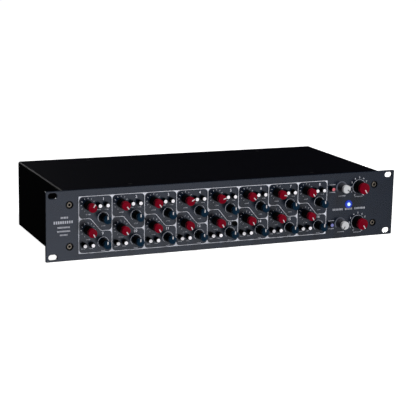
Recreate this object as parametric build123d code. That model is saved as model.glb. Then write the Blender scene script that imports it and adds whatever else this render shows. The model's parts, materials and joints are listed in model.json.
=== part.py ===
from build123d import *

import os

# Sixteen-channel rack summing mixer, 19 inches wide and two rack units high, in millimetres.
# Origin: centre of the front panel's front face. X runs along the width, +Y goes into the
# rack, +Z is up. One STEP file is written for each sub-part.

# ---- driving dimensions ----
PANEL_WIDTH = 482.6
PANEL_HEIGHT = 87.6
PANEL_THICK = 3.2
PANEL_CORNER = 1.0
PANEL_CHAMFER = 0.5
SLOT_SPACING_X = 465.1
SLOT_SPACING_Z = 76.2
SLOT_LENGTH = 11.0
SLOT_WIDTH = 7.2

CASE_HALF_WIDTH = 220.2
CASE_HALF_HEIGHT = 43.5
CASE_REAR = 207.0
SHEET = 1.5
COVER_SHEET = 1.2
COVER_BEND = 2.5
COVER_GAP = 0.5

# ---- control layout on the front panel ----
COLUMNS = 8
COLUMN_PITCH = 42.5
FIRST_COLUMN_LEFT = -199.8
ROW_DROP = 31.3  # the lower row of controls repeats the upper row this far down
LEVEL_IN_CELL = (11.8, 24.3)  # x from the column's left edge, z
PAN_IN_CELL = (31.4, 7.6)
UPPER_BUTTONS_IN_CELL = ((25.3, 23.6), (35.2, 23.6))
LOWER_BUTTONS_IN_CELL = ((6.2, -25.4), (16.4, -25.4))
TONE_BUTTON_X = 146.4
TONE_KNOB_X = 161.8
MASTER_KNOB_X = 188.3
OUTPUT_ROW_Z = (24.3, -23.8)
TONE_ROW_Z = (25.1, -23.7)
LAMP_PLACE = (173.2, 1.7)

# Pointer angles as set, clockwise from straight up, for channels 1 to 16 and the outputs.
LEVEL_ANGLES = (35, 140, 145, 60, 75, 135, 100, 150) + (150,) * 8
TONE_ANGLES = (125, -150)
MASTER_ANGLES = (150, 150)

# ---- knobs: radius at the panel and at the cap, distance of the front, length of the cap ----
LEVEL_KNOB = (5.9, 5.7, 20.0, 6.5)
PAN_KNOB = (5.4, 5.2, 18.0, 6.0)
TONE_KNOB = (5.8, 5.6, 15.4, 5.0)
MASTER_KNOB = (8.3, 7.6, 15.4, 5.0)
KNOB_GAP = 0.6
KNOB_CHAMFER = 0.5
CAP_INSET = 0.2
POINTER_WIDTH = 1.1
POINTER_DEPTH = 0.4
SHAFT_RADIUS = 3.0
SHAFT_HOLE_RADIUS = 3.75
SHAFT_FRONT = -9.0
SHAFT_REAR = 11.5
RUNNING_CLEARANCE = 0.05

# ---- push buttons ----
BUTTON_RADIUS = 3.1
BUTTON_HOLE_RADIUS = 3.5
BUTTON_PROUD = 7.0
BUTTON_HEAD_REAR = 4.0
LENS_RADIUS = 2.25
LENS_DEPTH = 1.6
LENS_PROUD = 0.6
STEM_RADIUS = 2.0
STEM_REAR = 11.0

# ---- parts behind the panel ----
BOARD_FRONT = 16.0
BOARD_THICK = 1.6
BOARD_HALF_WIDTH = 212.0
BOARD_HALF_HEIGHT = 36.0
WINDOW_HALF_WIDTH = 203.0
WINDOW_HALF_HEIGHT = 36.5
POT_SIZE = 11.0
POT_FRONT = 7.5
BUSHING_RADIUS = 3.6
BUSHING_FRONT = 3.6
POT_BORE_END = 12.5
SWITCH_SIZE = 8.0
SWITCH_FRONT = 8.0
SWITCH_BORE_END = 15.0

LAMP_FLANGE_RADIUS = 5.2
LAMP_FLANGE_PROUD = 1.4
LAMP_BODY_RADIUS = 3.9
LAMP_CORE_RADIUS = 2.3
LAMP_CORE_PROUD = 2.6

# ---- fasteners ----
PANEL_SCREWS = ((-211.4, 26.0), (-211.4, -26.0), (211.4, 26.0), (211.4, -26.0))
CENTRE_SCREW = (8.2, -12.7)
PANEL_SCREW_HEAD = 3.2
PANEL_SCREW_HEAD_FRONT = 0.6
PANEL_SCREW_RECESS = 2.2
PANEL_SCREW_RECESS_RADIUS = 4.2
PANEL_SCREW_SHANK = 2.0
PANEL_SCREW_END = 9.0
HEX_SOCKET_RADIUS = 1.9
COVER_SCREW_X = 127.0
COVER_SCREW_Y = (20.0, 190.0)
COVER_SCREW_HEAD = 2.9
COVER_SCREW_SHANK = 1.5
LIP_DEPTH = 26.0
LIP_HALF_WIDTH = 205.0
SIDE_FLANGE = 12.0
HOLE_EASE = 0.1

# ---- inside the case ----
CASE_FLOOR = SHEET - CASE_HALF_HEIGHT
MAIN_BOARD_BOTTOM = -36.0
MAIN_BOARD_X = (-205.0, 110.0)
MAIN_BOARD_Y = (40.0, 165.0)
CHIP_SIZE = (10.0, 7.0, 3.5)
HEADER_X = (-61.0, -9.0)
RIBBON_THICK = 1.2
RIBBON_BEND = 5.0
RIBBON_HEIGHT = -20.0
RIBBON_BACK = 50.0
HEADER_HALF = 4.0
HEADER_REAR = 24.0
HEADER_TOP = -27.0
OUTPUT_TRANSFORMER = (26.0, 28.0, 27.0)
OUTPUT_TRANSFORMER_Y = 140.0
TOROID_CENTRE = (162.0, 105.0)
TOROID_RADIUS = 36.0
TOROID_BORE = 11.0
TOROID_HEIGHT = 34.0
TOROID_PAD = 1.5

# ---- rear wall ----
XLR_X = (-185.0, -148.0, -111.0, -74.0)
DSUB_X = (0.0, 75.0)
INLET_X = 165.0
REAR_FLANGE = 2.0
XLR_SIZE = (26.0, 31.0)
XLR_BODY_RADIUS = 11.8
XLR_BORE_RADIUS = 9.4
XLR_FRONT = 187.0
XLR_SCREW_OFFSETS = ((-9.5, 12.0), (9.5, -12.0))
XLR_PIN_RADIUS = 1.2
XLR_PIN_CIRCLE = 4.4
PIN_RECESS = 6.5
DSUB_SIZE = (53.0, 12.5)
DSUB_SHELL = (38.4, 7.9)
DSUB_SCREW = 23.5
INLET_SIZE = (50.0, 25.0)
INLET_BODY = (28.0, 20.0)
INLET_BORE = (24.5, 16.5)
INLET_SCREW = 20.0
INLET_FLOOR = 189.0
INLET_PIN = (2.0, 4.0)
INLET_PIN_OFFSETS = ((-7.0, -2.0), (0.0, 2.0), (7.0, -2.0))
REAR_SCREW_HEAD = 2.6
REAR_SCREW_SHANK = 1.5
REAR_SCREW_END = 203.0


def slab(sketch, y_front, y_rear):
    """The sketch, drawn as seen from the front, as a solid between two depths."""
    return extrude(Plane.XZ.offset(-y_front) * sketch, amount=y_front - y_rear)


def disc(radius, x, z, y_front, y_rear):
    """A round bar along Y."""
    return slab(Pos(x, z) * Circle(radius), y_front, y_rear)


def block(x_range, y_range, z_range):
    """A box given by its lowest and highest coordinates."""
    size = [high - low for low, high in (x_range, y_range, z_range)]
    middle = [(high + low) / 2 for low, high in (x_range, y_range, z_range)]
    return Pos(*middle) * Box(*size)


def centred_block(centre, size):
    """A box on its base centre (x, y, z of the lowest face) with the given size."""
    return Pos(centre[0], centre[1], centre[2] + size[2] / 2) * Box(*size)


def upright(radius, x, y, z_low, z_high):
    """A round bar along Z."""
    return Pos(x, y, (z_low + z_high) / 2) * Cylinder(radius, z_high - z_low)


def front_edges(solid):
    """The round edges on the solid's frontmost face."""
    return solid.faces().sort_by(Axis.Y)[0].edges()


# ---- places of the repeated controls ----
def column_left(column):
    return FIRST_COLUMN_LEFT + COLUMN_PITCH * column


def in_channels(place):
    """The place of one control in all sixteen channels, upper row first."""
    x, z = place
    return [(column_left(c) + x, z - ROW_DROP * row) for row in (0, 1) for c in range(COLUMNS)]


def in_row(place):
    """The place of one control in the eight columns of a single row."""
    return [(column_left(c) + place[0], place[1]) for c in range(COLUMNS)]


LEVEL_PLACES = in_channels(LEVEL_IN_CELL)
PAN_PLACES = in_channels(PAN_IN_CELL)
TONE_PLACES = [(TONE_KNOB_X, z) for z in TONE_ROW_Z]
MASTER_PLACES = [(MASTER_KNOB_X, z) for z in OUTPUT_ROW_Z]
POT_PLACES = LEVEL_PLACES + PAN_PLACES + TONE_PLACES + MASTER_PLACES

BUTTON_GROUPS = {
    "upper_row_left_buttons": in_row(UPPER_BUTTONS_IN_CELL[0]),
    "upper_row_right_buttons": in_row(UPPER_BUTTONS_IN_CELL[1]),
    "lower_row_left_buttons": in_row(LOWER_BUTTONS_IN_CELL[0]),
    "lower_row_right_buttons": in_row(LOWER_BUTTONS_IN_CELL[1]),
    "red_tone_button": [(TONE_BUTTON_X, OUTPUT_ROW_Z[0])],
    "blue_tone_button": [(TONE_BUTTON_X, OUTPUT_ROW_Z[1])],
}
BUTTON_PLACES = [place for places in BUTTON_GROUPS.values() for place in places]
XLR_SCREWS = [(x + dx, dz) for x in XLR_X for dx, dz in XLR_SCREW_OFFSETS]
DSUB_SCREWS = [(x + dx, 0.0) for x in DSUB_X for dx in (-DSUB_SCREW, DSUB_SCREW)]
INLET_SCREWS = [(INLET_X + dx, 0.0) for dx in (-INLET_SCREW, INLET_SCREW)]
REAR_SCREWS = XLR_SCREWS + DSUB_SCREWS + INLET_SCREWS
COVER_SCREW_PLACES = [(x, y) for x in (-COVER_SCREW_X, COVER_SCREW_X) for y in COVER_SCREW_Y]
STANDOFF_PLACES = [(x, z) for x in (-207.5, 207.5) for z in (-8.0, 8.0)]
BOARD_FEET = [(x, y) for x in (-197.0, -45.0, 102.0) for y in (48.0, 157.0)]


# ---- controls ----
def knob(style, place, angle):
    """Black body, coloured cap with a pointer groove, and the shaft it is pressed on."""
    base_radius, cap_radius, proud, cap_length = style
    x, z = place
    body_front = cap_length - proud
    body_length = -KNOB_GAP - body_front
    shaft = disc(SHAFT_RADIUS, x, z, SHAFT_FRONT, SHAFT_REAR)
    body = Rot(90, 0, 0) * Cone(base_radius, cap_radius, body_length)
    body = Pos(x, body_front + body_length / 2, z) * body - shaft
    cap = disc(cap_radius - CAP_INSET, x, z, -proud, body_front)
    cap = chamfer(front_edges(cap), KNOB_CHAMFER)
    groove = Pos(0, cap_radius / 2) * Rectangle(POINTER_WIDTH, cap_radius)
    groove = Pos(x, z) * Rot(0, 0, -angle) * groove
    cap -= slab(groove, -proud, POINTER_DEPTH - proud)
    return [body, cap, shaft]


def button(place):
    """Black plunger with a lens set in its front and a guide stem behind."""
    x, z = place
    seat = LENS_DEPTH - BUTTON_PROUD
    head = disc(BUTTON_RADIUS, x, z, -BUTTON_PROUD, BUTTON_HEAD_REAR)
    head = head + disc(STEM_RADIUS, x, z, BUTTON_HEAD_REAR, STEM_REAR)
    head = head - disc(LENS_RADIUS, x, z, -BUTTON_PROUD, seat)
    lens = disc(LENS_RADIUS, x, z, -BUTTON_PROUD - LENS_PROUD, seat)
    lens = fillet(front_edges(lens), LENS_PROUD)
    return [head, lens]


# ---- fixed pieces ----
def front_panel():
    outline = RectangleRounded(PANEL_WIDTH, PANEL_HEIGHT, PANEL_CORNER)
    slots = [
        Pos(sx * SLOT_SPACING_X / 2, sz * SLOT_SPACING_Z / 2) * SlotOverall(SLOT_LENGTH, SLOT_WIDTH)
        for sx in (-1, 1)
        for sz in (-1, 1)
    ]
    holes = [Pos(*p) * Circle(SHAFT_HOLE_RADIUS) for p in POT_PLACES]
    holes += [Pos(*p) * Circle(BUTTON_HOLE_RADIUS) for p in BUTTON_PLACES]
    screws = PANEL_SCREWS + (CENTRE_SCREW,)
    holes += [Pos(*p) * Circle(PANEL_SCREW_SHANK + HOLE_EASE) for p in screws]
    holes.append(Pos(*LAMP_PLACE) * Circle(LAMP_BODY_RADIUS + HOLE_EASE))
    plate = slab(outline - slots, 0, PANEL_THICK)
    plate = chamfer(front_edges(plate), PANEL_CHAMFER)
    plate -= slab(Sketch() + holes, 0, PANEL_THICK)
    recess = [Pos(*p) * Circle(PANEL_SCREW_RECESS_RADIUS) for p in screws]
    plate -= slab(Sketch() + recess, 0, PANEL_SCREW_RECESS)
    return plate


def top_cover():
    """Folded sheet: the top and both sides, with a rounded bend along each long edge."""
    size = (2 * CASE_HALF_WIDTH, 2 * CASE_HALF_HEIGHT)
    outer = Rectangle(*size)
    outer = fillet(outer.vertices().group_by(Axis.Y)[-1], COVER_BEND)
    inner = Pos(0, -COVER_SHEET) * Rectangle(size[0] - 2 * COVER_SHEET, size[1])
    inner = fillet(inner.vertices().group_by(Axis.Y)[-1], COVER_BEND - COVER_SHEET)
    cover = slab(outer - inner, PANEL_THICK + HOLE_EASE, CASE_REAR)
    for x, y in COVER_SCREW_PLACES:
        cover -= cover_screw(x, y, HOLE_EASE)
    return cover


def cover_screw(x, y, ease=0.0):
    """Countersunk screw, flush with the cover. The ease makes the cutter for its hole."""
    head = Cone(COVER_SCREW_SHANK + ease, COVER_SCREW_HEAD + ease, COVER_SHEET)
    head = Pos(x, y, CASE_HALF_HEIGHT - COVER_SHEET / 2) * head
    low = CASE_HALF_HEIGHT - COVER_SHEET
    return head + upright(COVER_SCREW_SHANK + ease, x, y, low - 4.0, low)


def chassis_tray():
    """One folded sheet: bottom, front wall with a window, rear wall, side flanges, lips."""
    half = CASE_HALF_WIDTH - COVER_SHEET - COVER_GAP
    low = -CASE_HALF_HEIGHT
    top = CASE_HALF_HEIGHT - COVER_SHEET - COVER_GAP
    front = PANEL_THICK
    across = (-half, half)
    lip_across = (-LIP_HALF_WIDTH, LIP_HALF_WIDTH)
    tray = block(across, (front, CASE_REAR), (low, CASE_FLOOR))
    tray += block(across, (front, front + SHEET), (low, top))
    tray += block(across, (CASE_REAR - SHEET, CASE_REAR), (low, top))
    tray += block(lip_across, (front, front + LIP_DEPTH), (top - SHEET, top))
    tray += block(lip_across, (CASE_REAR - LIP_DEPTH, CASE_REAR), (top - SHEET, top))
    for side in (-half, half - SHEET):
        tray += block((side, side + SHEET), (front, CASE_REAR), (low, low + SIDE_FLANGE))
    window = Rectangle(2 * WINDOW_HALF_WIDTH, 2 * WINDOW_HALF_HEIGHT)
    holes = [Pos(*p) * Circle(PANEL_SCREW_SHANK + RUNNING_CLEARANCE) for p in PANEL_SCREWS]
    tray -= slab(Sketch() + [window] + holes, front, front + SHEET)
    cuts = [Pos(x, 0) * Circle(XLR_BODY_RADIUS + HOLE_EASE) for x in XLR_X]
    cuts += [Pos(x, 0) * Rectangle(DSUB_SHELL[0] + 3, DSUB_SHELL[1] + 3) for x in DSUB_X]
    cuts += [Pos(INLET_X, 0) * Rectangle(INLET_BODY[0] + 1, INLET_BODY[1] + 1)]
    cuts += [Pos(*p) * Circle(REAR_SCREW_SHANK + HOLE_EASE) for p in REAR_SCREWS]
    tray -= slab(Sketch() + cuts, CASE_REAR - SHEET, CASE_REAR)
    for x, y in COVER_SCREW_PLACES:
        tray -= upright(COVER_SCREW_SHANK + RUNNING_CLEARANCE, x, y, top - 2 * SHEET, top)
    return tray


def panel_screw(place):
    """Button-head screw with a hexagon socket."""
    x, z = place
    head = disc(PANEL_SCREW_HEAD, x, z, PANEL_SCREW_HEAD_FRONT, PANEL_SCREW_RECESS)
    head = fillet(front_edges(head), 0.7)
    head += disc(PANEL_SCREW_SHANK, x, z, PANEL_SCREW_RECESS, PANEL_SCREW_END)
    socket = Pos(x, z) * RegularPolygon(HEX_SOCKET_RADIUS, 6)
    return head - slab(socket, PANEL_SCREW_HEAD_FRONT, PANEL_SCREW_RECESS)


def control_board():
    half = BOARD_HALF_WIDTH
    rear = BOARD_FRONT + BOARD_THICK
    board = block((-half, half), (BOARD_FRONT, rear), (-BOARD_HALF_HEIGHT, BOARD_HALF_HEIGHT))
    z_range = (RIBBON_HEIGHT - HEADER_HALF, RIBBON_HEIGHT + HEADER_HALF)
    header = block(HEADER_X, (rear, HEADER_REAR), z_range)
    return [board, header]


def potentiometer(place):
    x, z = place
    body = slab(Pos(x, z) * Rectangle(POT_SIZE, POT_SIZE), POT_FRONT, BOARD_FRONT)
    body += disc(BUSHING_RADIUS, x, z, BUSHING_FRONT, POT_FRONT)
    return body - disc(SHAFT_RADIUS + RUNNING_CLEARANCE, x, z, BUSHING_FRONT, POT_BORE_END)


def switch_body(place):
    x, z = place
    body = slab(Pos(x, z) * Rectangle(SWITCH_SIZE, SWITCH_SIZE), SWITCH_FRONT, BOARD_FRONT)
    return body - disc(STEM_RADIUS + RUNNING_CLEARANCE, x, z, SWITCH_FRONT, SWITCH_BORE_END)


def power_lamp():
    x, z = LAMP_PLACE
    flange = disc(LAMP_FLANGE_RADIUS, x, z, -LAMP_FLANGE_PROUD, 0)
    flange = chamfer(front_edges(flange), 0.5)
    lens = flange + disc(LAMP_BODY_RADIUS, x, z, 0, 8)
    core = disc(LAMP_CORE_RADIUS, x, z, -LAMP_CORE_PROUD, 7)
    lens -= disc(LAMP_CORE_RADIUS, x, z, -LAMP_CORE_PROUD, 7)
    return [lens, fillet(front_edges(core), 1.4)]


def standoffs():
    """Hexagon pillars: under the control board, behind the centre screw, under the main board."""
    hexagon = RegularPolygon(3.2, 6)
    wall_rear = PANEL_THICK + SHEET
    pillars = [slab(Pos(*p) * hexagon, wall_rear, BOARD_FRONT) for p in STANDOFF_PLACES]
    centre = slab(Pos(*CENTRE_SCREW) * hexagon, PANEL_THICK, BOARD_FRONT)
    bore = disc(PANEL_SCREW_SHANK + RUNNING_CLEARANCE, *CENTRE_SCREW, PANEL_THICK, PANEL_SCREW_END + 1)
    pillars.append(centre - bore)
    for x, y in BOARD_FEET:
        foot = extrude(hexagon, amount=MAIN_BOARD_BOTTOM - CASE_FLOOR)
        pillars.append(Pos(x, y, CASE_FLOOR) * foot)
    return pillars


def main_board():
    """Circuit board with the ribbon header and one chip for each channel."""
    top = MAIN_BOARD_BOTTOM + BOARD_THICK
    board = block(MAIN_BOARD_X, MAIN_BOARD_Y, (MAIN_BOARD_BOTTOM, top))
    y_range = (RIBBON_BACK - HEADER_HALF, RIBBON_BACK + HEADER_HALF)
    pieces = [board, block(HEADER_X, y_range, (top, HEADER_TOP))]
    for c in range(COLUMNS):
        for y in (75.0, 100.0):
            pieces.append(centred_block((-180.0 + 38.0 * c, y, top), CHIP_SIZE))
    return pieces


def ribbon_cable():
    """Flat cable from the control board's header back and down into the main board's."""
    half = RIBBON_THICK / 2
    top, back = RIBBON_HEIGHT + half, RIBBON_BACK + half
    x_range = (HEADER_X[0] + 2, HEADER_X[1] - 2)
    strip = block(x_range, (HEADER_REAR, back), (HEADER_TOP, top))
    strip = fillet(strip.edges().filter_by(Axis.X).sort_by(Axis.Y)[-2:].sort_by(Axis.Z)[-1], RIBBON_BEND)
    hollow = block(x_range, (HEADER_REAR, back - RIBBON_THICK), (HEADER_TOP, top - RIBBON_THICK))
    corner = hollow.edges().filter_by(Axis.X).sort_by(Axis.Y)[-2:].sort_by(Axis.Z)[-1]
    return strip - fillet(corner, RIBBON_BEND - RIBBON_THICK)


def output_transformer(x):
    top = MAIN_BOARD_BOTTOM + BOARD_THICK
    can = centred_block((x, OUTPUT_TRANSFORMER_Y, top), OUTPUT_TRANSFORMER)
    return fillet(can.edges().filter_by(Axis.Z), 2.0)


def power_transformer():
    """Toroid on a pad, with a clamp washer and its bolt."""
    x, y = TOROID_CENTRE
    low = CASE_FLOOR + TOROID_PAD
    high = low + TOROID_HEIGHT
    pad = upright(TOROID_RADIUS - 4, x, y, CASE_FLOOR, low)
    coil = upright(TOROID_RADIUS, x, y, low, high) - upright(TOROID_BORE, x, y, low, high)
    coil = fillet(coil.edges(), 8.0)
    washer = upright(22.0, x, y, high, high + TOROID_PAD)
    bolt = upright(4.0, x, y, low, high + TOROID_PAD)
    washer -= bolt
    bolt += upright(6.5, x, y, high + TOROID_PAD, high + TOROID_PAD + 4)
    return [pad, coil, washer, bolt]


def xlr_connector(x):
    """Male output: flanged shell with three pins well behind its mouth."""
    rear = CASE_REAR + REAR_FLANGE
    floor = XLR_FRONT + 3
    shell = slab(Pos(x, 0) * RectangleRounded(*XLR_SIZE, 2.0), CASE_REAR, rear)
    shell += disc(XLR_BODY_RADIUS, x, 0, XLR_FRONT, CASE_REAR)
    shell -= disc(XLR_BORE_RADIUS, x, 0, floor, rear)
    holes = [Pos(x + dx, dz) * Circle(REAR_SCREW_SHANK + HOLE_EASE) for dx, dz in XLR_SCREW_OFFSETS]
    shell -= slab(Sketch() + holes, CASE_REAR, rear)
    turns = PolarLocations(XLR_PIN_CIRCLE, 3, start_angle=30)
    pins = [Pos(x, 0) * turn * Circle(XLR_PIN_RADIUS) for turn in turns]
    return shell + slab(Sketch() + pins, floor, rear - PIN_RECESS)


def dsub_connector(x):
    """25-way socket: flange, rounded shell outside and body inside."""
    flange_rear = CASE_REAR + 1.2
    flange = slab(Pos(x, 0) * RectangleRounded(*DSUB_SIZE, 2.0), CASE_REAR, flange_rear)
    flange += slab(Pos(x, 0) * RectangleRounded(*DSUB_SHELL, 3.0), flange_rear, CASE_REAR + 6)
    flange += slab(Pos(x, 0) * Rectangle(DSUB_SHELL[0] + 2, DSUB_SHELL[1] + 2), 196, CASE_REAR)
    holes = [Pos(x + dx, 0) * Circle(REAR_SCREW_SHANK + HOLE_EASE) for dx in (-DSUB_SCREW, DSUB_SCREW)]
    return flange - slab(Sketch() + holes, CASE_REAR, flange_rear)


def power_inlet():
    """Mains inlet: flange, body with a deep mouth, and three flat pins behind it."""
    rear = CASE_REAR + REAR_FLANGE
    floor = INLET_FLOOR
    body = slab(Pos(INLET_X, 0) * RectangleRounded(*INLET_SIZE, 4.0), CASE_REAR, rear)
    body += slab(Pos(INLET_X, 0) * Rectangle(*INLET_BODY), floor - 3, CASE_REAR)
    body -= slab(Pos(INLET_X, 0) * RectangleRounded(*INLET_BORE, 2.5), floor, rear)
    holes = [Pos(*p) * Circle(REAR_SCREW_SHANK + HOLE_EASE) for p in INLET_SCREWS]
    body -= slab(Sketch() + holes, CASE_REAR, rear)
    pins = [Pos(INLET_X + dx, dz) * Rectangle(*INLET_PIN) for dx, dz in INLET_PIN_OFFSETS]
    return body + slab(Sketch() + pins, floor, rear - PIN_RECESS)


def rear_screw(place):
    """Pan-head screw through a connector flange and the rear wall."""
    x, z = place
    seat = CASE_REAR + (1.2 if place in DSUB_SCREWS else REAR_FLANGE)
    head = disc(REAR_SCREW_HEAD, x, z, seat, seat + 1.6)
    return head + disc(REAR_SCREW_SHANK, x, z, REAR_SCREW_END, seat)


def write(name, pieces):
    """One STEP file for a sub-part, which may hold several separate solids."""
    pieces = pieces if isinstance(pieces, list) else [pieces]
    solids = [solid for piece in pieces for solid in piece.solids()]
    shape = solids[0] if len(solids) == 1 else Compound(children=solids)
    shape.label = name
    export_step(shape, f"parts/{name}.step")


os.makedirs("parts", exist_ok=True)
write("front_panel", front_panel())
write("top_cover", top_cover())
write("chassis_tray", chassis_tray())
write("panel_screws", [panel_screw(p) for p in PANEL_SCREWS + (CENTRE_SCREW,)])
write("cover_screws", [cover_screw(x, y) for x, y in COVER_SCREW_PLACES])
write("control_board", control_board())
write("potentiometers", [potentiometer(p) for p in POT_PLACES])
write("switch_bodies", [switch_body(p) for p in BUTTON_PLACES])
write("power_lamp", power_lamp())
write("standoffs", standoffs())
write("main_board", main_board())
write("ribbon_cable", ribbon_cable())
write("output_transformers", [output_transformer(x) for x in XLR_X])
write("power_transformer", power_transformer())
write("xlr_connectors", [xlr_connector(x) for x in XLR_X])
write("dsub_connectors", [dsub_connector(x) for x in DSUB_X])
write("power_inlet", power_inlet())
write("rear_screws", [rear_screw(p) for p in REAR_SCREWS])
for number, (level, pan, angle) in enumerate(zip(LEVEL_PLACES, PAN_PLACES, LEVEL_ANGLES), 1):
    write(f"level_knob_{number:02d}", knob(LEVEL_KNOB, level, angle))
    write(f"pan_knob_{number:02d}", knob(PAN_KNOB, pan, 0))
for number in (0, 1):
    write(f"tone_knob_{number + 1}", knob(TONE_KNOB, TONE_PLACES[number], TONE_ANGLES[number]))
    write(f"master_knob_{number + 1}", knob(MASTER_KNOB, MASTER_PLACES[number], MASTER_ANGLES[number]))
for name, places in BUTTON_GROUPS.items():
    write(name, [piece for place in places for piece in button(place)])
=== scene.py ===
"""Looks for a sixteen-channel rack summing mixer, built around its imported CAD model."""

import json
import math

import bmesh
import bpy
from mathutils import Matrix, Vector

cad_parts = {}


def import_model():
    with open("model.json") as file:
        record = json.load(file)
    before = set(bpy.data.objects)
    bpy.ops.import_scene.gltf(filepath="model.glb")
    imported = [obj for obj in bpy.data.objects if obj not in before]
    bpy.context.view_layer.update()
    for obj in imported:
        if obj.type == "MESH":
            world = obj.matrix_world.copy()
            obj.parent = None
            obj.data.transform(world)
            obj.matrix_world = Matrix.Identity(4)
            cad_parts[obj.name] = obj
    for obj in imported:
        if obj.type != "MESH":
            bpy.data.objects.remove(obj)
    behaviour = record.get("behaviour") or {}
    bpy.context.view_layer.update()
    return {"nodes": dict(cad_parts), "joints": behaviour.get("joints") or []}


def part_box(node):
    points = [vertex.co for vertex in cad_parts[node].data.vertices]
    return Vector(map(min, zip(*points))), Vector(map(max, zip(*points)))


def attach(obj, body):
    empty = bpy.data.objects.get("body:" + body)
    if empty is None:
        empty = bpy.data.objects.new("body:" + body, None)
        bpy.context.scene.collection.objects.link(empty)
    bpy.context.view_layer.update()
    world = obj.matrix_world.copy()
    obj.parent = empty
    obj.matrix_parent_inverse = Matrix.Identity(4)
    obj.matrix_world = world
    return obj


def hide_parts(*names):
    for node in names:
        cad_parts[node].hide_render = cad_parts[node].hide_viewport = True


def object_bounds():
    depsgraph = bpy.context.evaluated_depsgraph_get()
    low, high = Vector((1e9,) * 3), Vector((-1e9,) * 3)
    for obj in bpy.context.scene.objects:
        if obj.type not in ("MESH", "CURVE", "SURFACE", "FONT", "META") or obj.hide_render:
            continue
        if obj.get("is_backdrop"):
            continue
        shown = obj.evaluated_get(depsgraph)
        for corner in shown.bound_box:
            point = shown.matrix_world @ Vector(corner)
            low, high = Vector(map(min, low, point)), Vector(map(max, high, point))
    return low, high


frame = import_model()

MM = 0.001

# ---- camera: angles in degrees, distances in millimetres ----
CAMERA_PLACE = (-655.95, -1462.59, 360.48)
CAMERA_AZIMUTH = -23.19
CAMERA_ELEVATION = 12.42
CAMERA_ROLL = 1.17
CAMERA_LENS = 111.43
SENSOR_WIDTH = 36.0

# ---- printed lines on the front panel, in millimetres ----
COLUMNS = 8
COLUMN_PITCH = 42.5
GRID_LEFT = -199.8
GRID_TOP = 35.3
GRID_BOTTOM = -35.8
DIVIDER_HIGH = 7.4
DIVIDER_LOW = -8.9
DIVIDER_BENDS = (14.8, 28.3)
LINE_WIDTH = 0.55
CELL_CORNER = 4.8
INK_GAP = 0.02
INK_THICK = 0.05
ROW_DROP = 31.3
TICK_RING = 8.7
PAN_ARC = 6.9
MASTER_ARC = 9.6
MASTER_NUMERAL_RING = 12.6
ARC_WIDTH = 0.5
CHANNEL_NUMERAL = 3.4
MASTER_NUMERAL = 2.3
WORD_PITCH = 0.82  # from block to block, as a share of the blocks' height
BLOCK_SHARE = 0.62  # width of a block, as a share of the pitch

# ---- parts of the controls, in millimetres ----
KNOB_GAP = 0.6
SHAFT_RADIUS = 3.0
CAP_EDGE = 0.7
FLUTE_DEPTH = 0.45
POINTER_HALF_WIDTH = 0.6
BUTTON_RADIUS = 3.1
BUTTON_STEM = 2.0
BUTTON_SHOULDER = 4.0
LENS_RADIUS = 2.25
LENS_DOME = 0.5
LAMP_CORE_REACH = 2.31

# ---- fasteners and rear connectors, in millimetres ----
PANEL_SCREW_PLACE = (211.4, 26.0)
# inner and outer radius of the band of painted shade round each panel screw's recess
SCREW_SHADE_RING = (4.25, 4.9)
SCREW_RECESS_REACH = 4.3
HEX_SOCKET_REACH = 1.9
XLR_X = (-185.0, -148.0, -111.0, -74.0)
XLR_FLOOR = 190.0
XLR_FLOOR_RADIUS = 9.4
DSUB_X = (0.0, 75.0)
DSUB_ROWS = ((13, 1.4), (12, -1.4))
CONTACT_PITCH = 2.76
CONTACT_RADIUS = 0.6
INLET_X = 165.0
INLET_PINS_HALF = (9.0, 4.5)
INLET_PINS_DEPTH = (190.0, 203.0)

# ---- light: plain strengths, and where the world's parts begin and end along each axis ----
FLOOR_GLOW = 0.95
TABLE_GLOW = 1.8
SKY_GLOW = 0.12
DARK_GLOW = 0.004
TABLE_FRONT = (-0.15, -0.6)
TABLE_LOW = (-0.02, -0.14)
TABLE_RIGHT_END = (0.38, 0.58)
SKY_RISE = (0.35, 0.95)


# ---------------------------------------------------------------- materials
def principled(name, colour, roughness, metallic=0.0):
    """A node material with its shader, ready for textures to be linked in."""
    material = bpy.data.materials.new(name)
    material.use_nodes = True
    shader = material.node_tree.nodes["Principled BSDF"]
    shader.inputs["Base Color"].default_value = (*colour, 1.0)
    shader.inputs["Roughness"].default_value = roughness
    shader.inputs["Metallic"].default_value = metallic
    material.diffuse_color = (*colour, 1.0)
    return material, shader


def noise(material, scale, detail=3.0, stretch=(1.0, 1.0, 1.0)):
    """Noise in the object's own metres, as the texture node."""
    tree = material.node_tree
    place = tree.nodes.new("ShaderNodeTexCoord")
    mapping = tree.nodes.new("ShaderNodeMapping")
    mapping.inputs["Scale"].default_value = stretch
    texture = tree.nodes.new("ShaderNodeTexNoise")
    texture.inputs["Scale"].default_value = scale
    texture.inputs["Detail"].default_value = detail
    tree.links.new(place.outputs["Object"], mapping.inputs["Vector"])
    tree.links.new(mapping.outputs["Vector"], texture.inputs["Vector"])
    return texture


def vary_colour(material, shader, texture, dark, light):
    """Colour that drifts between two near shades with the texture."""
    tree = material.node_tree
    ramp = tree.nodes.new("ShaderNodeValToRGB")
    ramp.color_ramp.elements[0].position = 0.3
    ramp.color_ramp.elements[0].color = (*dark, 1.0)
    ramp.color_ramp.elements[1].position = 0.7
    ramp.color_ramp.elements[1].color = (*light, 1.0)
    tree.links.new(texture.outputs["Fac"], ramp.inputs["Fac"])
    tree.links.new(ramp.outputs["Color"], shader.inputs["Base Color"])


def vary_roughness(material, shader, texture, low, high):
    """Gloss that changes with the texture."""
    tree = material.node_tree
    span = tree.nodes.new("ShaderNodeMapRange")
    span.inputs["To Min"].default_value = low
    span.inputs["To Max"].default_value = high
    tree.links.new(texture.outputs["Fac"], span.inputs["Value"])
    tree.links.new(span.outputs["Result"], shader.inputs["Roughness"])


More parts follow.
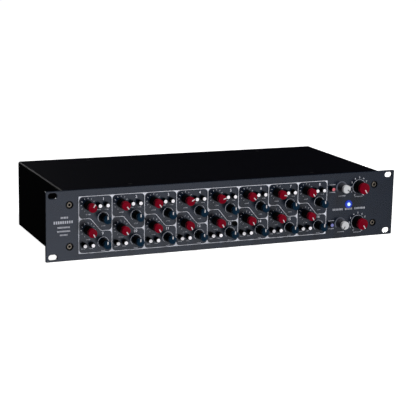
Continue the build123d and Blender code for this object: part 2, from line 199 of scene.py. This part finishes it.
def add_bump(material, shader, texture, strength, height):
    """A relief of the texture's pattern, with the height in metres."""
    tree = material.node_tree
    bump = tree.nodes.new("ShaderNodeBump")
    bump.inputs["Strength"].default_value = strength
    bump.inputs["Distance"].default_value = height
    tree.links.new(texture.outputs["Fac"], bump.inputs["Height"])
    tree.links.new(bump.outputs["Normal"], shader.inputs["Normal"])


def shade(colour, factor):
    return tuple(min(1.0, c * factor) for c in colour)


def textured(name, colour, roughness, metallic=0.0, grain=900.0, spread=0.12, bump=0.15,
             stretch=(1.0, 1.0, 1.0), specular=0.5, tint=(1.0, 1.0, 1.0)):
    """The common surface: a fine grain, a slow drift of colour and uneven gloss."""
    material, shader = principled(name, colour, roughness, metallic)
    shader.inputs["Specular IOR Level"].default_value = specular
    shader.inputs["Specular Tint"].default_value = (*tint, 1.0)
    fine = noise(material, grain, 4.0, stretch)
    slow = noise(material, grain / 25.0, 2.0, stretch)
    vary_colour(material, shader, slow, shade(colour, 1.0 - spread), shade(colour, 1.0 + spread))
    vary_roughness(material, shader, fine, roughness - 0.06, roughness + 0.06)
    add_bump(material, shader, fine, bump, 0.00005)
    return material


def glowing(name, colour, strength, roughness=0.3):
    """A surface that also gives off a little light of its own colour; on the lamp it is real light, on
    the ink and the button lenses it is painted glow.
    """
    material, shader = principled(name, colour, roughness)
    texture = noise(material, 400.0)
    vary_colour(material, shader, texture, shade(colour, 0.92), shade(colour, 1.05))
    shader.inputs["Emission Color"].default_value = (*colour, 1.0)
    shader.inputs["Emission Strength"].default_value = strength
    return material


PANEL_PAINT = textured("panel_paint", (0.0045, 0.011, 0.025), 0.27, grain=1400.0, bump=0.2,
                       tint=(0.87, 0.895, 1.0))
CASE_PAINT = textured("case_paint", (0.002, 0.002, 0.004), 0.5, grain=1100.0, bump=0.3, specular=0.06)
# the white ink gives off a little light: painted glow, the print is no lamp
INK = glowing("white_ink", (0.86, 0.87, 0.96), 0.12, 0.55)
DIM_INK = textured("dim_ink", (0.62, 0.63, 0.70), 0.55, grain=2500.0, spread=0.08)
GREY_INK = textured("grey_ink", (0.13, 0.14, 0.18), 0.55, grain=2500.0, spread=0.08)
# black plastic of the knobs and buttons, also used as painted shade in the panel's screw recesses, screw
# sockets and the rings round them
BLACK_PLASTIC_AND_SHADE = textured("black_plastic", (0.0015, 0.0015, 0.002), 0.45, grain=2200.0, specular=0.07)
GREY_BODY = textured("grey_body", (0.045, 0.045, 0.055), 0.4, grain=2200.0, specular=0.3)
RED_CAP = textured("red_cap", (0.23, 0.0005, 0.012), 0.45, grain=2600.0, spread=0.1, specular=0.06)
BLUE_CAP = textured("blue_cap", (0.002, 0.020, 0.045), 0.45, grain=2600.0, spread=0.1, specular=0.1)
GREY_CAP = textured("grey_cap", (0.79, 0.79, 0.81), 0.45, grain=2600.0, spread=0.05, specular=0.3)
PALE_POINTER = textured("pale_pointer", (0.88, 0.84, 0.86), 0.45, grain=2600.0, spread=0.04)
DARK_POINTER = textured("dark_pointer", (0.02, 0.02, 0.02), 0.45, grain=2600.0, spread=0.1)
SHAFT_METAL = textured("shaft_metal", (0.55, 0.55, 0.56), 0.3, 1.0, stretch=(1.0, 12.0, 1.0))
# the button lenses give off a little light: painted glow, they are no lamps
WHITE_LENS = glowing("white_lens", (0.90, 0.88, 0.92), 0.38)
RED_LENS = glowing("red_lens", (0.70, 0.14, 0.17), 0.2)
BLUE_LENS = glowing("blue_button_lens", (0.22, 0.23, 0.55), 0.2)
LAMP_LENS = glowing("lamp_lens", (0.004, 0.03, 0.42), 0.6, 0.15)
LAMP_CORE = glowing("lamp_core", (0.60, 0.85, 1.0), 0.9, 0.15)
CONTACT_GOLD = textured("contact_gold", (0.75, 0.52, 0.18), 0.3, 1.0, grain=3000.0)
CONNECTOR_PLASTIC = textured("connector_plastic", (0.018, 0.018, 0.02), 0.4, grain=1800.0)
SCREW_BRASS = textured("screw_brass", (0.27, 0.235, 0.20), 0.45, 1.0, grain=3000.0)
SCREW_BLACK = textured("screw_black", (0.02, 0.02, 0.022), 0.4, 0.6, grain=3000.0)
BOARD_GREEN = textured("board_green", (0.01, 0.12, 0.045), 0.4, grain=600.0, spread=0.2)
BRIGHT_METAL = textured("bright_metal", (0.66, 0.66, 0.68), 0.28, 1.0, stretch=(8.0, 1.0, 1.0))
DULL_METAL = textured("dull_metal", (0.45, 0.45, 0.46), 0.42, 1.0)
WINDING = textured("winding_tape", (0.50, 0.36, 0.06), 0.4, grain=500.0, spread=0.25)
RIBBON = textured("ribbon_grey", (0.36, 0.37, 0.40), 0.6, stretch=(14.0, 1.0, 1.0))

NODE_MATERIALS = {
    "front_panel": PANEL_PAINT,
    "top_cover": CASE_PAINT,
    "chassis_tray": CASE_PAINT,
    "panel_screws": SCREW_BRASS,
    "cover_screws": SCREW_BLACK,
    "rear_screws": SCREW_BLACK,
    "control_board": BOARD_GREEN,
    "main_board": BOARD_GREEN,
    "potentiometers": DULL_METAL,
    "switch_bodies": BLACK_PLASTIC_AND_SHADE,
    "standoffs": BRIGHT_METAL,
    "ribbon_cable": RIBBON,
    "output_transformers": DULL_METAL,
    "power_transformer": WINDING,
    "xlr_connectors": DULL_METAL,
    "dsub_connectors": BRIGHT_METAL,
    "power_inlet": CONNECTOR_PLASTIC,
    "power_lamp": LAMP_LENS,
}


# ---------------------------------------------------------------- mesh helpers
def finish_piece(name, mesh_source, materials, body, replaced=()):
    """A mesh object from a bmesh, on its body and with its material slot."""
    mesh = bpy.data.meshes.new(name)
    bmesh.ops.recalc_face_normals(mesh_source, faces=mesh_source.faces)
    mesh_source.to_mesh(mesh)
    mesh_source.free()
    for material in materials:
        mesh.materials.append(material)
    piece = bpy.data.objects.new(name, mesh)
    bpy.context.scene.collection.objects.link(piece)
    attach(piece, body)
    if replaced:
        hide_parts(*replaced)
    return piece


def lathe(work, centre, profile, segments, flutes=0, flute_depth=0.0):
    """Revolves a profile about the Y axis through the centre.

    Each profile point is (y, radius, material, fluted); the material is that of the band
    which runs from this point to the next one.
    """
    x, z = centre
    rings = []
    for y, radius, _, fluted in profile:
        if radius <= 0.0:
            rings.append([work.verts.new((x, y, z))])
            continue
        ring = []
        for step in range(segments):
            turn = 2 * math.pi * step / segments
            wave = (0.5 - 0.5 * math.cos(flutes * turn)) * flute_depth if fluted else 0.0
            reach = radius - wave
            ring.append(work.verts.new((x + reach * math.sin(turn), y, z + reach * math.cos(turn))))
        rings.append(ring)
    for (first, second), (_, _, material, _) in zip(zip(rings, rings[1:]), profile):
        for step in range(segments):
            after = (step + 1) % segments
            if len(first) == 1:
                corners = (first[0], second[step], second[after])
            elif len(second) == 1:
                corners = (first[step], first[after], second[0])
            else:
                corners = (first[step], first[after], second[after], second[step])
            face = work.faces.new(corners)
            face.material_index = material
            face.smooth = True


def rounded(points, radius, steps=6):
    """The polygon with each corner replaced by an arc."""
    outline = []
    count = len(points)
    for index, corner in enumerate(points):
        corner = Vector(corner)
        before = (Vector(points[index - 1]) - corner).normalized()
        after = (Vector(points[(index + 1) % count]) - corner).normalized()
        half = before.angle(after) / 2
        reach = radius / math.tan(half)
        middle = corner + (before + after).normalized() * (radius / math.sin(half))
        start = corner + before * reach - middle
        turn = math.pi - 2 * half
        sign = 1 if before.cross(after) < 0 else -1
        for step in range(steps + 1):
            arm = start.copy()
            arm.rotate(Matrix.Rotation(sign * turn * step / steps, 2))
            outline.append(middle + arm)
    return outline


def prism(work, outline, y_front, y_rear, material):
    """A closed solid with the outline (x, z) between two depths."""
    front = [work.verts.new((x, y_front, z)) for x, z in outline]
    rear = [work.verts.new((x, y_rear, z)) for x, z in outline]
    faces = [work.faces.new(front), work.faces.new(list(reversed(rear)))]
    for index in range(len(outline)):
        after = (index + 1) % len(outline)
        faces.append(work.faces.new((front[index], rear[index], rear[after], front[after])))
    for face in faces:
        face.material_index = material


def middle_of(node):
    low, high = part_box(node)
    return (low + high) / 2


# ---------------------------------------------------------------- knobs
def pointer_angle(node):
    """Clockwise from straight up: the middle of the joint's range is the pointer at the top."""
    for joint in frame["joints"]:
        if joint["child"] == node:
            return -sum(joint["range_deg"]) / 2
    raise KeyError(node)


def knob(node, body_material, cap_material, pointer_material, slot, flutes, cap_share, taper):
    """Fluted body, coloured cap with a rolled edge, inlaid pointer and steel shaft."""
    low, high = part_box(node)
    centre = ((low.x + high.x) / 2, (low.z + high.z) / 2)
    radius = (high.x - low.x) / 2
    front = low.y
    back = -KNOB_GAP * MM
    seam = front + cap_share * (back - front)
    neck = radius * taper
    barrel = neck - 0.1 * MM
    cap = neck - 0.2 * MM
    edge = CAP_EDGE * MM
    shaft = SHAFT_RADIUS * MM
    body, colour, pointer, metal = range(4)
    profile = [
        (high.y, 0.0, metal, False),
        (high.y, shaft, metal, False),
        (back, shaft, body, False),
        (back, radius - 0.3 * MM, body, False),
        (back - 0.3 * MM, radius, body, False),
        (back - 1.3 * MM, radius, body, False),
        (back - 1.6 * MM, radius - 0.3 * MM, body, False),
        (back - 2.1 * MM, radius - 0.2 * MM, body, True),
        (seam + 0.5 * MM, barrel, body, True),
        (seam + 0.25 * MM, barrel - 0.4 * MM, body, False),
        (seam, barrel - 0.45 * MM, colour, False),
        (seam - 0.15 * MM, cap - 0.1 * MM, colour, False),
        (seam - 0.35 * MM, cap, colour, False),
    ]
    for step in range(5):
        turn = math.pi / 2 * step / 4
        profile.append(
            (front + edge * (1 - math.sin(turn)), cap - edge * (1 - math.cos(turn)), colour, False)
        )
    profile.append((front, cap - 1.2 * MM, colour, False))
    profile.append((front + 0.15 * MM, cap - 1.5 * MM, colour, False))
    profile.append((front + 0.15 * MM, 0.0, colour, False))
    work = bmesh.new()
    lathe(work, centre, profile, 96, flutes, FLUTE_DEPTH * MM)
    half = POINTER_HALF_WIDTH * MM
    inner, outer = 0.2 * radius, cap - 0.15 * MM
    upright = rounded([(-half, inner), (half, inner), (half, outer), (-half, outer)], 0.3 * MM, 3)
    spin = Matrix.Rotation(-math.radians(pointer_angle(node)), 2)
    placed = [spin @ point + Vector(centre) for point in upright]
    prism(work, placed, front - 0.06 * MM, front + 0.6 * MM, pointer)
    materials = [body_material, cap_material, pointer_material, SHAFT_METAL]
    return finish_piece(node + "_look", work, materials, node, (node,))


def all_knobs():
    """Each kind's materials, slot, number of flutes, cap's share of the length and taper."""
    kinds = {
        "level_knob": (BLACK_PLASTIC_AND_SHADE, RED_CAP, PALE_POINTER, "red_cap", 20, 0.335, 0.966),
        "pan_knob": (BLACK_PLASTIC_AND_SHADE, BLUE_CAP, PALE_POINTER, "blue_cap", 18, 0.345, 0.963),
        "tone_knob": (GREY_BODY, GREY_CAP, DARK_POINTER, "grey_cap", 18, 0.338, 0.966),
        "master_knob": (BLACK_PLASTIC_AND_SHADE, RED_CAP, PALE_POINTER, "red_cap", 28, 0.338, 0.916),
    }
    for node in sorted(frame["nodes"]):
        for start, kind in kinds.items():
            if node.startswith(start):
                knob(node, *kind)


# ---------------------------------------------------------------- push buttons
def button(work, centre, front, rear):
    """Black plunger with a domed lens in its front and a thinner stem behind."""
    x, z = centre
    plastic, lens = 0, 1
    radius, stem, lens_radius = BUTTON_RADIUS * MM, BUTTON_STEM * MM, LENS_RADIUS * MM
    rim = front + 0.6 * MM
    shoulder = BUTTON_SHOULDER * MM
    profile = [
        (rear, 0.0, plastic, False),
        (rear, stem, plastic, False),
        (shoulder, stem, plastic, False),
        (shoulder, radius, plastic, False),
        (rim + 0.3 * MM, radius, plastic, False),
        (rim, radius - 0.15 * MM, plastic, False),
        (rim, lens_radius + 0.12 * MM, plastic, False),
        (rim + 0.25 * MM, lens_radius, lens, False),
        (rim - 0.1 * MM, lens_radius - 0.05 * MM, lens, False),
    ]
    for step in range(1, 6):
        turn = math.pi / 2 * step / 5
        dome = LENS_DOME * MM * math.sin(turn)
        reach = (lens_radius - 0.05 * MM) * math.cos(turn)
        profile.append((rim - 0.1 * MM - dome, reach if step < 5 else 0.0, lens, False))
    lathe(work, (x, z), profile, 40)


def button_group(node, material):
    """All the buttons of one node, spread evenly over the node's box."""
    low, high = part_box(node)
    count = COLUMNS if "row" in node else 1
    first = low.x + BUTTON_RADIUS * MM
    step = (high.x - low.x - 2 * BUTTON_RADIUS * MM) / max(1, count - 1)
    height = (low.z + high.z) / 2
    work = bmesh.new()
    for index in range(count):
        button(work, (first + step * index, height), low.y, high.y)
    finish_piece(node + "_look", work, [BLACK_PLASTIC_AND_SHADE, material], node, (node,))


def all_buttons():
    for node in sorted(frame["nodes"]):
        if node.endswith("_buttons"):
            button_group(node, WHITE_LENS)
    button_group("red_tone_button", RED_LENS)
    button_group("blue_tone_button", BLUE_LENS)


# ---------------------------------------------------------------- printing on the panel
def ink_outline(curve, points):
    """Adds one closed outline, in millimetres on the panel, to a flat curve."""
    spline = curve.splines.new("POLY")
    spline.points.add(len(points) - 1)
    for place, (x, z) in zip(spline.points, points):
        place.co = (x, z, 0.0, 1.0)
    spline.use_cyclic_u = True


def flat_curve(name):
    curve = bpy.data.curves.new(name, "CURVE")
    curve.dimensions = "2D"
    curve.fill_mode = "BOTH"
    return curve


def bar(centre, length, width, angle=0.0):
    """A rounded bar as an outline. It lies along X and is then turned clockwise by the angle."""
    half_length, half_width = length / 2, width / 2
    corners = [(-half_length, -half_width), (half_length, -half_width),
               (half_length, half_width), (-half_length, half_width)]
    spin = Matrix.Rotation(-math.radians(angle), 2)
    return [spin @ point + Vector(centre) for point in rounded(corners, half_width * 0.6, 2)]


def around(centre, radius, angle):
    """The point at a clock angle round a control."""
    turn = math.radians(angle)
    return (centre[0] + radius * math.sin(turn), centre[1] + radius * math.cos(turn))


def arc_band(centre, radius, width, start, end, steps=40):
    """Part of a ring as an outline."""
    angles = [start + (end - start) * step / steps for step in range(steps + 1)]
    outer = [around(centre, radius + width / 2, a) for a in angles]
    inner = [around(centre, radius - width / 2, a) for a in reversed(angles)]
    return outer + inner


def grid_outlines():
    """The outer frame of the grid and the sixteen rounded cells cut out of it."""
    half = LINE_WIDTH / 2
    left, right = GRID_LEFT - half, GRID_LEFT + COLUMNS * COLUMN_PITCH + half
    frame_corners = [(left, GRID_BOTTOM - half), (right, GRID_BOTTOM - half),
                     (right, GRID_TOP + half), (left, GRID_TOP + half)]
    outlines = [rounded(frame_corners, 1.0, 4)]
    lean = half * math.tan(math.radians(25.0))
    for column in range(COLUMNS):
        x0 = GRID_LEFT + column * COLUMN_PITCH
        x1 = x0 + COLUMN_PITCH
        bend_high, bend_low = x0 + DIVIDER_BENDS[0], x0 + DIVIDER_BENDS[1]
        upper = [(x0 + half, DIVIDER_HIGH + half), (bend_high + lean, DIVIDER_HIGH + half),
                 (bend_low + lean, DIVIDER_LOW + half), (x1 - half, DIVIDER_LOW + half),
                 (x1 - half, GRID_TOP - half), (x0 + half, GRID_TOP - half)]
        lower = [(x0 + half, GRID_BOTTOM + half), (x1 - half, GRID_BOTTOM + half),
                 (x1 - half, DIVIDER_LOW - half), (bend_low - lean, DIVIDER_LOW - half),
                 (bend_high - lean, DIVIDER_HIGH - half), (x0 + half, DIVIDER_HIGH - half)]
        outlines.append(rounded(upper, CELL_CORNER))
        outlines.append(rounded(lower, CELL_CORNER))
    return outlines


def knob_place(node):
    middle = middle_of(node)
    return (middle.x / MM, middle.z / MM)


def scale_outlines():
    """Ticks round the level knobs, arcs round the pan and output knobs."""
    outlines = []
    for number in range(1, 2 * COLUMNS + 1):
        place = knob_place(f"level_knob_{number:02d}")
        for step in range(11):
            angle = -150 + 30 * step
            outlines.append(bar(around(place, TICK_RING, angle), 1.9, 0.55, angle - 90))
        place = knob_place(f"pan_knob_{number:02d}")
        outlines.append(arc_band(place, PAN_ARC, ARC_WIDTH, -140, 140))
    for number in (1, 2):
        place = knob_place(f"master_knob_{number}")
        outlines.append(arc_band(place, MASTER_ARC, ARC_WIDTH, -150, 150))
    return outlines


def block_outline(place, width, height):
    x, z = place
    return [(x - width / 2, z - height / 2), (x + width / 2, z - height / 2),
            (x + width / 2, z + height / 2), (x - width / 2, z + height / 2)]


def word(x, z, length, height):
    """A row of small upright blocks that stands for a word."""
    pitch = WORD_PITCH * height
    count = max(2, round(length / pitch))
    blocks = []
    for index in range(count):
        place = (x + (index - (count - 1) / 2) * length / count, z)
        blocks.append(block_outline(place, BLOCK_SHARE * pitch, height))
    return blocks


def screw_rings():
    """Painted shade: a dark band round the recess of each panel screw, as an inner and an outer circle.
    """
    across, up = PANEL_SCREW_PLACE
    places = [(x, z) for x in (-across, across) for z in (-up, up)]
    turns = [360 * step / 48 for step in range(48)]
    return [[around(place, radius, turn) for turn in turns] for place in places for radius in SCREW_SHADE_RING]


def tone_rings():
    places = [knob_place(f"tone_knob_{number}") for number in (1, 2)]
    return [arc_band(place, 7.2, 2.0, -135, 135) for place in places]


def legend_outlines():
    """Rows of plain blocks where the controls' legends go."""
    places = []
    for column in range(COLUMNS):
        x = GRID_LEFT + column * COLUMN_PITCH
        for row in (0, 1):
            drop = ROW_DROP * row
            places.append((x + 11.8, 12.6 - drop, 6.0, 1.1))
            places.append((x + 31.2, -2.8 - drop, 5.0, 1.1))
        for across, up in ((25.6, 17.9), (35.6, 17.7), (5.6, -30.4), (15.9, -30.4)):
            places.append((x + across, up, 4.8, 1.0))
    places += [(148.2, z, 8.6, 1.2) for z in (29.4, 19.2, -19.2, -30.0)]
    places += [(162.8, z, 10.6, 1.2) for z in (13.4, -35.2)]
    places += [(188.2, z, 11.6, 1.2) for z in (11.2, -37.4)]
    outlines = []
    for x, z, length, height in places:
        outlines += word(x, z, length, height)
    return outlines


def marker_outlines():
    """Rows of plain blocks for the maker's words: left of the grid and under the lamp."""
    outlines = []
    for x, z, length, height in (
        (-218.0, 10.7, 9.7, 2.3), (-219.5, 4.9, 25.0, 3.4), (-219.0, -1.4, 15.6, 2.0),
        (-219.0, -6.2, 17.0, 1.9), (-219.0, -10.8, 10.0, 1.9), (157.2, -4.6, 15.5, 2.6),
        (173.6, -4.6, 11.5, 2.6), (190.4, -4.6, 16.6, 2.6),
    ):
        outlines += word(x, z, length, height)
    return outlines


def numerals():
    """Every number on the panel: text, centre and height, in millimetres."""
    items = []
    for number in range(1, 2 * COLUMNS + 1):
        column, row = (number - 1) % COLUMNS, (number - 1) // COLUMNS
        x = GRID_LEFT + column * COLUMN_PITCH + (31.4 if row == 0 else 30.6)
        z = 30.9 if row == 0 else -12.4
        items.append((str(number), (x, z), CHANNEL_NUMERAL))
    for knob_number in (1, 2):
        place = knob_place(f"master_knob_{knob_number}")
        for value in range(11):
            angle = -150 + 30 * value
            items.append((str(value), around(place, MASTER_NUMERAL_RING, angle), MASTER_NUMERAL))
    return items


def curve_to_work(work, curve, depth, offset=(0.0, 0.0), scale=1.0):
    """Adds a flat curve, drawn in millimetres, to the work as ink at a depth."""
    curve.extrude = INK_THICK / 2 / scale
    holder = bpy.data.objects.new("flat_holder", curve)
    bpy.context.scene.collection.objects.link(holder)
    graph = bpy.context.evaluated_depsgraph_get()
    mesh = bpy.data.meshes.new_from_object(holder.evaluated_get(graph))
    across, up = offset
    place = Matrix.Translation((across * MM, depth * MM, up * MM))
    mesh.transform(place @ Matrix.Rotation(math.radians(90), 4, "X") @ Matrix.Scale(MM * scale, 4))
    work.from_mesh(mesh)
    bpy.data.meshes.remove(mesh)
    bpy.data.objects.remove(holder)
    bpy.data.curves.remove(curve)


def print_layer(name, material, depth, groups, letters=()):
    """One object of ink at a depth, from outlines and from text."""
    work = bmesh.new()
    for outlines in groups:
        curve = flat_curve(name)
        for outline in outlines:
            ink_outline(curve, outline)
        curve_to_work(work, curve, depth)
    for text, place, height in letters:
        letter = bpy.data.curves.new("numeral", "FONT")
        letter.body = text
        letter.align_x = "CENTER"
        letter.align_y = "CENTER"
        letter.offset = 0.012
        curve_to_work(work, letter, depth, place, height / 0.7)
    finish_piece(name, work, [material], "case")


def panel_print():
    face = -(INK_GAP + INK_THICK / 2)
    print_layer("panel_print", INK, face, [grid_outlines()], numerals())
    fine = [scale_outlines(), legend_outlines(), marker_outlines()]
    print_layer("panel_print_fine", DIM_INK, face, fine)
    print_layer("panel_print_rings", GREY_INK, face, [tone_rings()])
    # a black ring of painted shade round each panel screw's recess
    print_layer("panel_screw_painted_shade", BLACK_PLASTIC_AND_SHADE, face, [screw_rings()])


def rear_print():
    """Plain blocks for the words by each connector on the rear wall."""
    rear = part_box("chassis_tray")[1].y / MM + INK_GAP + INK_THICK / 2
    outlines = []
    for x in XLR_X:
        outlines += word(x, -22.0, 15.0, 2.2)
    for x in DSUB_X:
        outlines += word(x, 12.0, 26.0, 2.2)
    outlines += word(INLET_X, 19.0, 30.0, 2.2)
    outlines += word(INLET_X, -19.0, 22.0, 2.2)
    print_layer("rear_print", DIM_INK, rear, [outlines])


def dsub_contacts():
    """Two rows of contacts, thirteen and twelve, in the face of each multi-way socket."""
    work = bmesh.new()
    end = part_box("dsub_connectors")[1].y
    inner, outer = end - 0.3 * MM, end + 0.05 * MM
    radius = CONTACT_RADIUS * MM
    profile = [(inner, 0.0, 0, False), (inner, radius, 0, False),
               (outer, radius, 0, False), (outer, 0.0, 0, False)]
    for x in DSUB_X:
        for count, z in DSUB_ROWS:
            for index in range(count):
                place = ((x + CONTACT_PITCH * (index - (count - 1) / 2)) * MM, z * MM)
                lathe(work, place, profile, 12)
    finish_piece("dsub_contacts", work, [CONTACT_GOLD], "case")


# ---------------------------------------------------------------- CAD nodes that are kept
def dress_nodes():
    for node, material in NODE_MATERIALS.items():
        mesh = frame["nodes"][node].data
        mesh.materials.clear()
        mesh.materials.append(material)


def second_material(node, material, chosen):
    """Gives the polygons whose centre passes the test a second material."""
    mesh = frame["nodes"][node].data
    mesh.materials.append(material)
    index = len(mesh.materials) - 1
    for polygon in mesh.polygons:
        if chosen(polygon.center):
            polygon.material_index = index


def near_screw(point, radius):
    """Whether a point is within a radius, in millimetres, of one of the four panel screws."""
    across = abs(point.x) / MM - PANEL_SCREW_PLACE[0]
    up = abs(point.z) / MM - PANEL_SCREW_PLACE[1]
    return math.hypot(across, up) < radius


def on_inlet_pin(point):
    """The three flat pins inside the mains inlet."""
    x, y, z = (value / MM for value in point)
    half_width, half_height = INLET_PINS_HALF
    start, end = INLET_PINS_DEPTH
    return abs(x - INLET_X) < half_width and abs(z) < half_height and start < y < end


def on_xlr_floor(point):
    """The insulator that carries the three pins, at the bottom of each output socket."""
    x, y, z = (value / MM for value in point)
    across = min(abs(x - socket) for socket in XLR_X)
    return abs(y - XLR_FLOOR) < 0.1 and math.hypot(across, z) < XLR_FLOOR_RADIUS


def on_dark_screw(point):
    """The whole centre screw, and the sockets of the other four, which are given black as painted shade.
    """
    return abs(point.x) < 100 * MM or near_screw(point, HEX_SOCKET_REACH)


# the panel's screw recess, whose faces are given black as painted shade
def in_screw_recess(point):
    return near_screw(point, SCREW_RECESS_REACH) and point.y > 0.1 * MM


def split_materials():
    lamp, reach = middle_of("power_lamp"), LAMP_CORE_REACH * MM
    second_material("power_lamp", LAMP_CORE, lambda c: math.hypot(c.x - lamp.x, c.z - lamp.z) < reach)
    second_material("panel_screws", BLACK_PLASTIC_AND_SHADE, on_dark_screw)
    # the panel's screw recesses take black as painted shade
    second_material("front_panel", BLACK_PLASTIC_AND_SHADE, in_screw_recess)
    second_material("power_inlet", BRIGHT_METAL, on_inlet_pin)
    second_material("xlr_connectors", CONNECTOR_PLASTIC, on_xlr_floor)
    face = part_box("dsub_connectors")[1].y - 0.01 * MM
    second_material("dsub_connectors", CONNECTOR_PLASTIC, lambda c: c.y > face)


# ---------------------------------------------------------------- stage, lights and camera
def stage():
    floor_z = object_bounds()[0][2]
    work = bmesh.new()
    bmesh.ops.create_grid(work, x_segments=8, y_segments=8, size=6.0)
    mesh = bpy.data.meshes.new("floor")
    work.to_mesh(mesh)
    work.free()
    floor = bpy.data.objects.new("floor", mesh)
    floor.location.z = floor_z - 0.2 * MM
    bpy.context.scene.collection.objects.link(floor)
    material, shader = principled("floor_white", (0.93, 0.93, 0.93), 0.9)
    texture = noise(material, 3.0)
    vary_colour(material, shader, texture, (0.925, 0.925, 0.925), (0.935, 0.935, 0.935))
    shader.inputs["Specular IOR Level"].default_value = 0.0
    shader.inputs["Emission Color"].default_value = (1.0, 1.0, 1.0, 1.0)
    shader.inputs["Emission Strength"].default_value = FLOOR_GLOW
    mesh.materials.append(material)
    floor.visible_glossy = False
    floor.visible_diffuse = False
    floor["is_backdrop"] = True


def area_light(name, place, target, size, power):
    """A white rectangle of light that faces the target, in metres and watts."""
    light = bpy.data.lights.new(name, "AREA")
    light.shape = "RECTANGLE"
    light.size, light.size_y = size
    light.energy = power
    holder = bpy.data.objects.new(name, light)
    holder.location = place
    direction = Vector(target) - Vector(place)
    holder.rotation_euler = direction.to_track_quat("-Z", "Y").to_euler()
    holder.visible_camera = False
    bpy.context.scene.collection.objects.link(holder)


def ramp_between(tree, value, ends, at_low, at_high):
    """A smooth step of one direction component between two ends."""
    span = tree.nodes.new("ShaderNodeMapRange")
    span.interpolation_type = "SMOOTHSTEP"
    span.inputs["From Min"].default_value, span.inputs["From Max"].default_value = ends
    span.inputs["To Min"].default_value = at_low
    span.inputs["To Max"].default_value = at_high
    tree.links.new(value, span.inputs["Value"])
    return span.outputs["Result"]


def combine(tree, operation, first, second):
    """The result of a two-input operation on values or outputs."""
    node = tree.nodes.new("ShaderNodeMath")
    node.operation = operation
    for slot, value in zip(node.inputs, (first, second)):
        if isinstance(value, float):
            slot.default_value = value
        else:
            tree.links.new(value, slot)
    return node.outputs["Value"]


def world():
    """White to the camera; to the object, a lit table in front and a soft sky, dark behind."""
    scene = bpy.context.scene
    scene.world = bpy.data.worlds.new("studio")
    scene.world.use_nodes = True
    tree = scene.world.node_tree
    tree.nodes.clear()
    place = tree.nodes.new("ShaderNodeTexCoord")
    axes = tree.nodes.new("ShaderNodeSeparateXYZ")
    tree.links.new(place.outputs["Generated"], axes.inputs["Vector"])
    x, y, z = axes.outputs
    front = ramp_between(tree, y, TABLE_FRONT, 0.0, TABLE_GLOW)
    low = ramp_between(tree, z, TABLE_LOW, 0.0, 1.0)
    side = ramp_between(tree, x, TABLE_RIGHT_END, 1.0, 0.05)
    table = combine(tree, "MULTIPLY", combine(tree, "MULTIPLY", front, low), side)
    sky = ramp_between(tree, z, SKY_RISE, DARK_GLOW, SKY_GLOW)
    seen = tree.nodes.new("ShaderNodeBackground")
    seen.inputs["Strength"].default_value = 1.0
    seen.inputs["Color"].default_value = (1.0, 1.0, 1.0, 1.0)
    felt = tree.nodes.new("ShaderNodeBackground")
    felt.inputs["Color"].default_value = (0.96, 0.98, 1.0, 1.0)
    tree.links.new(combine(tree, "ADD", table, sky), felt.inputs["Strength"])
    path = tree.nodes.new("ShaderNodeLightPath")
    mix = tree.nodes.new("ShaderNodeMixShader")
    output = tree.nodes.new("ShaderNodeOutputWorld")
    tree.links.new(path.outputs["Is Camera Ray"], mix.inputs["Fac"])
    tree.links.new(felt.outputs["Background"], mix.inputs[1])
    tree.links.new(seen.outputs["Background"], mix.inputs[2])
    tree.links.new(mix.outputs["Shader"], output.inputs["Surface"])


def camera():
    azimuth, elevation, roll = (
        math.radians(a) for a in (CAMERA_AZIMUTH, CAMERA_ELEVATION, CAMERA_ROLL)
    )
    back = Vector((
        math.sin(azimuth) * math.cos(elevation),
        -math.cos(azimuth) * math.cos(elevation),
        math.sin(elevation),
    ))
    level = Vector((0, 0, 1)).cross(back).normalized()
    upright = back.cross(level)
    right = level * math.cos(roll) + upright * math.sin(roll)
    up = upright * math.cos(roll) - level * math.sin(roll)
    data = bpy.data.cameras.new("camera")
    data.sensor_width = SENSOR_WIDTH
    data.lens = CAMERA_LENS
    data.clip_end = 50.0
    holder = bpy.data.objects.new("camera", data)
    turn = Matrix((right, up, back)).transposed().to_4x4()
    holder.matrix_world = Matrix.Translation(Vector(CAMERA_PLACE) * MM) @ turn
    bpy.context.scene.collection.objects.link(holder)
    bpy.context.scene.camera = holder


def lights():
    """A key above the front, a low strip for the rear wall and a glint for the cover's bend."""
    area_light("key", place=(0.6, -1.2, 1.8), target=(0.0, 0.0, 0.0), size=(0.7, 0.5), power=30.0)
    area_light("rear", place=(0.9, 2.1, 0.0), target=(0.0, 0.2, 0.0), size=(1.2, 0.07), power=30.0)
    area_light("edge", place=(-0.45, 2.5, 0.65), target=(-0.2, 0.1, 0.0), size=(0.5, 0.35), power=6.0)


bpy.context.scene.view_settings.view_transform = "Standard"
camera()
world()
lights()
stage()
dress_nodes()
split_materials()
all_knobs()
all_buttons()
panel_print()
rear_print()
dsub_contacts()
